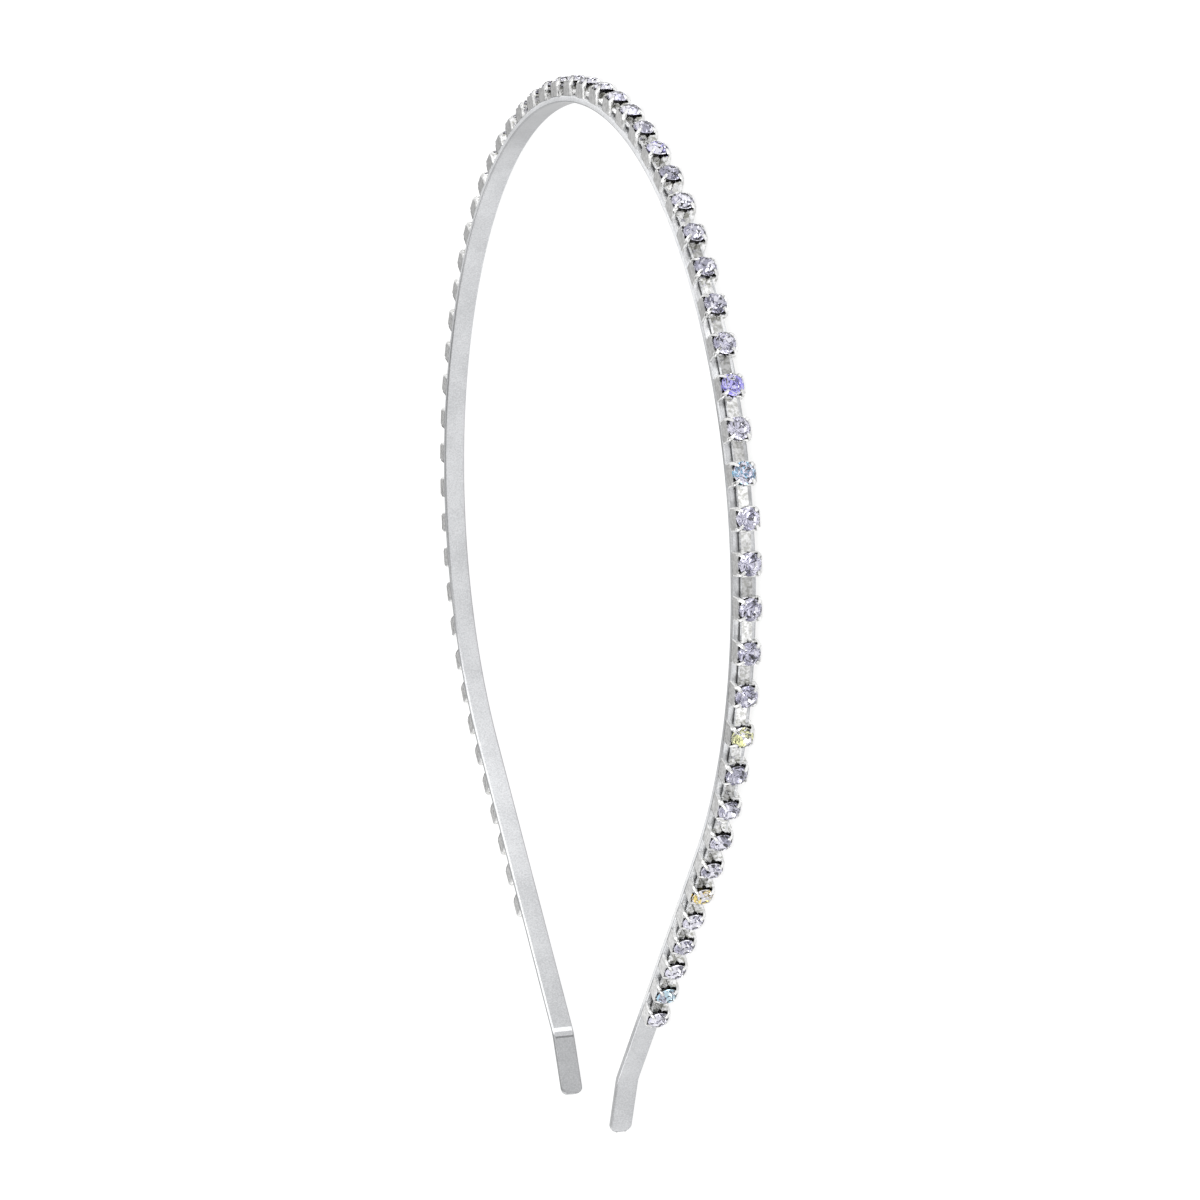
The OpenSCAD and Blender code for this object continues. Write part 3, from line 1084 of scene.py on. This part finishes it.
def add_camera(scene):
    """The camera, turned with the headband from standing on its tips to lying on its side."""
    studio = scene.headband_studio
    lie_down = Matrix.Rotation(-QUARTER_TURN, 4, "X")
    turned = (
        lie_down
        @ Matrix.Rotation(studio.azimuth, 4, "Z")
        @ Matrix.Rotation(QUARTER_TURN - studio.elevation, 4, "X")
    )
    middle = (BAND_LOW.z + BAND_HIGH.z) / 2
    aim = Vector((studio.aim_x, BAND_HIGH.y - studio.aim_drop, middle))
    back = (turned @ Vector((0, 0, 1, 0))).to_3d()
    data = bpy.data.cameras.new("camera")
    data.lens = studio.lens
    data.sensor_width = SENSOR_WIDTH
    camera = bpy.data.objects.new("camera", data)
    camera.matrix_world = (
        Matrix.Translation(aim + back * studio.distance) @ turned @ Matrix.Rotation(-studio.roll, 4, "Z")
    )
    scene.collection.objects.link(camera)
    scene.camera = camera


# What polished things see of the tent: its cloth, then its panels and the dark gaps between them,
# each by azimuth, elevation, radius and soft rim in degrees, and brightness
TENT_BRIGHTNESS = 1.2
TENT = [
    (7, 19, 9, 6, 0.06),
    (187, 3, 9, 6, 0.1),
    (-62, 50, 12, 8, 0.08),
    (-150, 58, 12, 8, 0.1),
    (20, 66, 10, 6, 0.1),
    (40, 48, 15, 4, 3.6),
    (-100, 28, 13, 4, 3.2),
    (150, 72, 12, 4, 3.2),
    (-25, 30, 9, 4, 3.6),
    (60, 15, 8, 4, 3.2),
]
# What matt things and the camera see of it
ROOM_BRIGHTNESS = 1.4


def add_light(scene):
    """A tent of soft light. Matt things see it even, polished ones see its panels and gaps."""
    world = bpy.data.worlds.new("soft_studio")
    scene.world = world
    world.use_nodes = True
    tree = world.node_tree
    tree.nodes.clear()
    way = add_node(tree, "ShaderNodeTexCoord").outputs["Generated"]
    seen = TENT_BRIGHTNESS
    for azimuth, elevation, radius, rim, brightness in TENT:
        around, up = math.radians(azimuth), math.radians(elevation)
        aim = (math.cos(up) * math.cos(around), math.cos(up) * math.sin(around), math.sin(up))
        near = add_node(tree, "ShaderNodeVectorMath", {0: way, 1: aim}, operation="DOT_PRODUCT")
        share = add_node(
            tree, "ShaderNodeMapRange",
            {
                "Value": near.outputs["Value"],
                "From Min": math.cos(math.radians(radius + rim / 2)),
                "From Max": math.cos(math.radians(radius - rim / 2)),
            },
            interpolation_type="SMOOTHSTEP",
        )
        inputs = {SHARE: share.outputs["Result"], FIRST_NUMBER: seen, SECOND_NUMBER: brightness}
        seen = add_node(tree, "ShaderNodeMix", inputs).outputs[MIXED_NUMBER]
    paths = add_node(tree, "ShaderNodeLightPath")
    plain = add_node(
        tree, "ShaderNodeMath",
        {0: paths.outputs["Is Diffuse Ray"], 1: paths.outputs["Is Camera Ray"]}, operation="MAXIMUM",
    )
    inputs = {SHARE: plain.outputs["Value"], FIRST_NUMBER: seen, SECOND_NUMBER: ROOM_BRIGHTNESS}
    shown = add_node(tree, "ShaderNodeMix", inputs)
    shader = add_node(tree, "ShaderNodeBackground", {"Strength": shown.outputs[MIXED_NUMBER]})
    add_node(tree, "ShaderNodeOutputWorld", {"Surface": shader.outputs[0]})
    scene.view_settings.view_transform = "Standard"


class HEADBAND_OT_stage(bpy.types.Operator):
    """Add the floor, the light and the camera"""

    bl_idname = "headband.stage"
    bl_label = "Stage"

    def execute(self, context):
        add_floor(context.scene)
        add_light(context.scene)
        add_camera(context.scene)
        return {"FINISHED"}


class HEADBAND_PT_sidebar(bpy.types.Panel):
    """The headband's parts, in the order in which they are made"""

    bl_idname = "HEADBAND_PT_sidebar"
    bl_label = "Rhinestone headband"
    bl_space_type = "VIEW_3D"
    bl_region_type = "UI"
    bl_category = "Headband"

    def draw(self, context):
        for operator in OPERATORS:
            self.layout.operator(operator.bl_idname)
        for group in GROUPS:
            box = self.layout.box()
            settings = getattr(context.scene, group)
            for name in settings.__annotations__:
                box.prop(settings, name)


OPERATORS = [HEADBAND_OT_stage, HEADBAND_OT_strip, HEADBAND_OT_cup_chain, HEADBAND_OT_rhinestones]


def register():
    """Adds the settings, the operators and the sidebar to Blender."""
    for group, kind in GROUPS.items():
        bpy.utils.register_class(kind)
        setattr(bpy.types.Scene, group, bpy.props.PointerProperty(type=kind))
    for kind in OPERATORS + [HEADBAND_PT_sidebar]:
        bpy.utils.register_class(kind)


def unregister():
    """Takes them out again."""
    for kind in reversed(OPERATORS + [HEADBAND_PT_sidebar]):
        bpy.utils.unregister_class(kind)
    for group, kind in reversed(GROUPS.items()):
        delattr(bpy.types.Scene, group)
        bpy.utils.unregister_class(kind)


def main():
    """Builds the stage and the headband."""
    register()
    bpy.ops.headband.stage()
    bpy.ops.headband.strip()
    bpy.ops.headband.cup_chain()
    bpy.ops.headband.rhinestones()
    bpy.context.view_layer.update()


if __name__ == "__main__":
    main()
